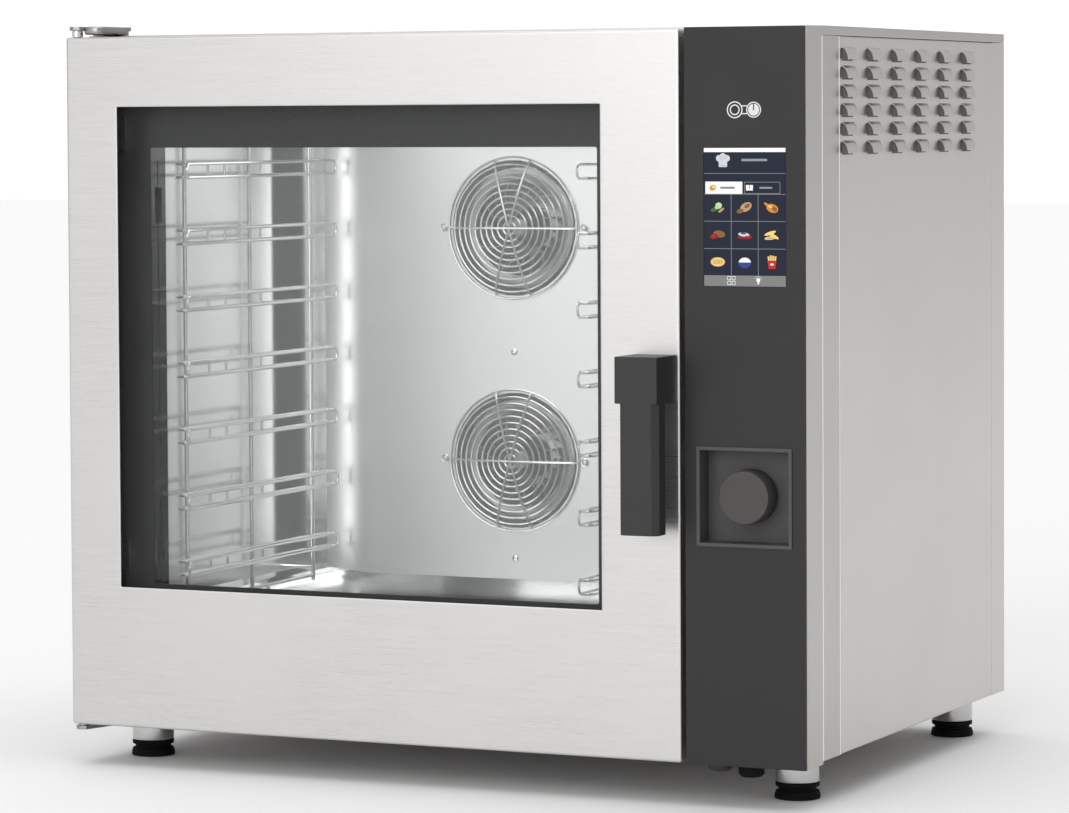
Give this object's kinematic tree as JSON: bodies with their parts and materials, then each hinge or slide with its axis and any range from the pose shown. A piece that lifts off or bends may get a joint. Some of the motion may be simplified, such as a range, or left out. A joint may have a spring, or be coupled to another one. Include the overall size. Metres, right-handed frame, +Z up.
{
  "type": "combi steamer oven",
  "caption": "Counter-top combi steamer oven: stainless cabinet, glazed left-hung door with lever handle, black control column with screen and knob, louvred side, wire racks and fans inside.",
  "frame": {"origin": "middle of the bounding box's footprint, on the surface that the feet stand on", "axes": "+Z up, the door and control panel face -Y, +X to the right seen from the front"},
  "size_m": [0.9286, 0.752, 0.8617],
  "materials": {
    "brushed_steel": "fine brushed stainless sheet",
    "bright_steel": "bright stainless",
    "steel_wire": "electropolished wire",
    "black_panel": "satin black",
    "black_plastic": "fine-grained matt black",
    "knob_grey": "matt warm dark grey",
    "clear_glass": "clear tempered glass",
    "display_glass": "glossy screen",
    "silicone": "matt silicone rubber",
    "cast_metal": "cast and sheathed metal",
    "circuit_board": "printed circuit board",
    "mineral_wool": "mineral wool blanket",
    "white_plastic": "moulded plastic"
  },
  "bodies": {
    "cabinet": {"front_frame": "brushed_steel", "top_cover": "brushed_steel", "rear_panel": "brushed_steel", "base_pan": "brushed_steel", "left_side_panel": "brushed_steel", "right_side_panel": "brushed_steel", "cavity_liner": "brushed_steel", "fan_baffle": "brushed_steel", "control_housing": "brushed_steel", "foot_sleeve_front_left": "bright_steel", "foot_sleeve_front_right": "bright_steel", "foot_sleeve_rear_left": "bright_steel", "foot_sleeve_rear_right": "bright_steel", "exhaust_duct": "bright_steel", "drain_screen": "bright_steel", "drain_pipe": "bright_steel", "water_injector": "bright_steel", "hinge_bracket_top": "bright_steel", "hinge_bracket_bottom": "bright_steel", "hinge_pin_top": "bright_steel", "hinge_pin_bottom": "bright_steel", "latch_keeper": "bright_steel", "fan_guard_upper": "steel_wire", "fan_guard_lower": "steel_wire", "rack_left": "steel_wire", "rack_right": "steel_wire", "control_fascia": "black_panel", "cable_gland": "black_plastic", "knob_cup": "black_plastic", "encoder_body": "black_plastic", "probe_socket": "black_plastic", "cavity_lamp": "clear_glass", "display_module": "display_glass", "door_gasket": "silicone", "fan_motor_upper": "cast_metal", "fan_motor_lower": "cast_metal", "heater_ring_upper": "cast_metal", "heater_ring_lower": "cast_metal", "control_board": "circuit_board", "power_board": "circuit_board", "insulation_wrap": "mineral_wool", "water_valve": "white_plastic"},
    "door": {"door_skin": "brushed_steel", "door_inner_frame": "brushed_steel", "door_outer_glass": "clear_glass", "door_inner_glass": "clear_glass", "glass_clip_top": "bright_steel", "glass_clip_bottom": "bright_steel"},
    "handle": {"door_handle": "black_plastic", "latch_cam": "bright_steel"},
    "plunger": {"encoder_plunger": "white_plastic"},
    "knob": {"knob": "knob_grey"},
    "fan_upper": {"fan_impeller_upper": "bright_steel"},
    "fan_lower": {"fan_impeller_lower": "bright_steel"},
    "flap": {"exhaust_flap": "bright_steel"},
    "usb_cover": {"usb_cap": "black_plastic"},
    "levelling_foot_front_left": {"foot_insert_front_left": "black_plastic"},
    "levelling_foot_front_right": {"foot_insert_front_right": "black_plastic"},
    "levelling_foot_rear_left": {"foot_insert_rear_left": "black_plastic"},
    "levelling_foot_rear_right": {"foot_insert_rear_right": "black_plastic"}
  },
  "joints": [
    {"name": "door_hinge", "type": "hinge", "parent": "cabinet", "child": "door", "pos_m": [-0.45435, -0.311, 0.4454], "axis": [0, 0, -1], "range_deg": [0, 130]},
    {"name": "handle_turn", "type": "hinge", "parent": "door", "child": "handle", "pos_m": [0.28065, -0.321, 0.4684], "axis": [0, 1, 0], "range_deg": [-45, 45]},
    {"name": "knob_press", "type": "slide", "parent": "cabinet", "child": "plunger", "axis": [0, 1, 0], "range_m": [0, 0.0015], "stiffness_N_per_m": 900, "springref_m": -0.001},
    {"name": "knob_turn", "type": "hinge", "parent": "plunger", "child": "knob", "pos_m": [0.38495, -0.321, 0.3404], "axis": [0, 1, 0], "continuous": true},
    {"name": "fan_spin_upper", "type": "hinge", "parent": "cabinet", "child": "fan_upper", "pos_m": [-0.09435, 0.129, 0.61852], "axis": [0, 1, 0], "continuous": true},
    {"name": "fan_spin_lower", "type": "hinge", "parent": "cabinet", "child": "fan_lower", "pos_m": [-0.09435, 0.129, 0.33355], "axis": [0, 1, 0], "continuous": true},
    {"name": "flap_turn", "type": "hinge", "parent": "cabinet", "child": "flap", "pos_m": [-0.27435, 0.154, 0.8034], "axis": [1, 0, 0], "range_deg": [0, 90]},
    {"name": "usb_cap_pull", "type": "slide", "parent": "cabinet", "child": "usb_cover", "axis": [0, 0, -1], "range_m": [0, 0.012]},
    {"name": "foot_level_front_left", "type": "slide", "parent": "cabinet", "child": "levelling_foot_front_left", "axis": [0, 0, -1], "range_m": [0, 0.015]},
    {"name": "foot_level_front_right", "type": "slide", "parent": "cabinet", "child": "levelling_foot_front_right", "axis": [0, 0, -1], "range_m": [0, 0.015]},
    {"name": "foot_level_rear_left", "type": "slide", "parent": "cabinet", "child": "levelling_foot_rear_left", "axis": [0, 0, -1], "range_m": [0, 0.015]},
    {"name": "foot_level_rear_right", "type": "slide", "parent": "cabinet", "child": "levelling_foot_rear_right", "axis": [0, 0, -1], "range_m": [0, 0.015]}
  ]
}
